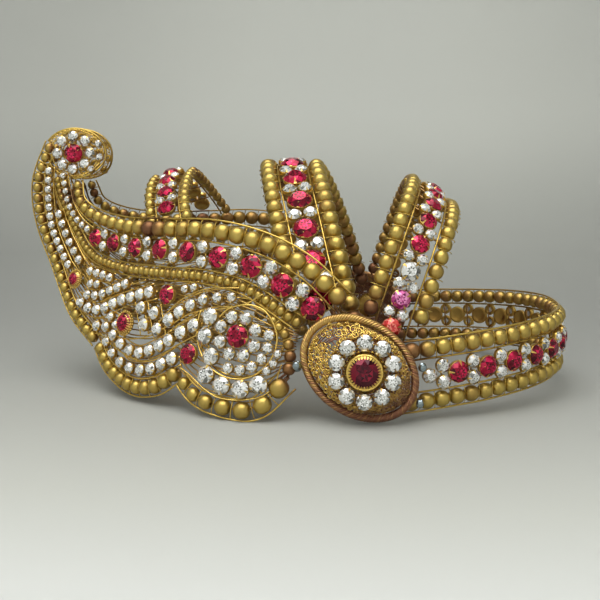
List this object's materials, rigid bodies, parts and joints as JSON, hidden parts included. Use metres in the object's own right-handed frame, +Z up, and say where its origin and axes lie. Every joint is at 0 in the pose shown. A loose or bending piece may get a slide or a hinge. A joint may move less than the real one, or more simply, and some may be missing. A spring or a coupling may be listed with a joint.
{
  "type": "crown",
  "caption": "Theatrical wire crown with two curled wings, rosettes at the sides, a banded back and arches over the head, set with strung metal beads and red and clear stones.",
  "frame": {"origin": "middle of the head opening at the height of the table that the crown stands on, half way between the two wings", "axes": "+Z up, -Y towards the wearer's forehead, +X towards the wearer's left"},
  "size_m": [0.1644, 0.2305, 0.1074],
  "materials": {
    "frame_wire": "satin",
    "scroll_wire": "polished",
    "bead_metal": "satin",
    "string_wire": "satin",
    "rope_wire": "satin",
    "cup_metal": "satin",
    "red_stone": "polished",
    "dark_red_stone": "polished",
    "clear_stone": "polished",
    "solder": "satin"
  },
  "bodies": {
    "root": {"left_wing_frame": "frame_wire", "left_wing_scrolls": "scroll_wire", "left_wing_edge_beads": "bead_metal", "left_wing_top_beads": "bead_metal", "left_wing_small_beads": "bead_metal", "left_wing_bead_strings": "string_wire", "left_wing_red_stones": "red_stone", "left_wing_clear_stones": "clear_stone", "left_wing_stone_cups": "cup_metal", "left_rosette_frame": "rope_wire", "left_rosette_rope": "rope_wire", "left_rosette_filigree": "scroll_wire", "left_rosette_bezel": "cup_metal", "left_rosette_middle_stone": "dark_red_stone", "left_rosette_clear_stones": "clear_stone", "left_rosette_cups": "cup_metal", "left_solder_joints": "solder", "right_wing_frame": "frame_wire", "right_wing_scrolls": "scroll_wire", "right_wing_edge_beads": "bead_metal", "right_wing_top_beads": "bead_metal", "right_wing_small_beads": "bead_metal", "right_wing_bead_strings": "string_wire", "right_wing_red_stones": "red_stone", "right_wing_clear_stones": "clear_stone", "right_wing_stone_cups": "cup_metal", "right_rosette_frame": "rope_wire", "right_rosette_rope": "rope_wire", "right_rosette_filigree": "scroll_wire", "right_rosette_bezel": "cup_metal", "right_rosette_middle_stone": "dark_red_stone", "right_rosette_clear_stones": "clear_stone", "right_rosette_cups": "cup_metal", "right_solder_joints": "solder", "prow_joints": "solder", "rear_band_frame": "frame_wire", "rear_band_top_beads": "bead_metal", "rear_band_bottom_beads": "bead_metal", "rear_band_bead_strings": "string_wire", "rear_band_red_stones": "red_stone", "rear_band_clear_stones": "clear_stone", "rear_band_stone_cups": "cup_metal", "front_arch_frame": "frame_wire", "front_arch_beads": "bead_metal", "front_arch_bead_strings": "string_wire", "front_arch_red_stones": "red_stone", "front_arch_clear_stones": "clear_stone", "front_arch_stone_cups": "cup_metal", "middle_arch_frame": "frame_wire", "middle_arch_beads": "bead_metal", "middle_arch_bead_strings": "string_wire", "middle_arch_red_stones": "red_stone", "middle_arch_clear_stones": "clear_stone", "middle_arch_stone_cups": "cup_metal", "rear_arch_frame": "frame_wire", "rear_arch_beads": "bead_metal", "rear_arch_bead_strings": "string_wire", "rear_arch_red_stones": "red_stone", "rear_arch_clear_stones": "clear_stone", "rear_arch_stone_cups": "cup_metal"}
  },
  "joints": []
}
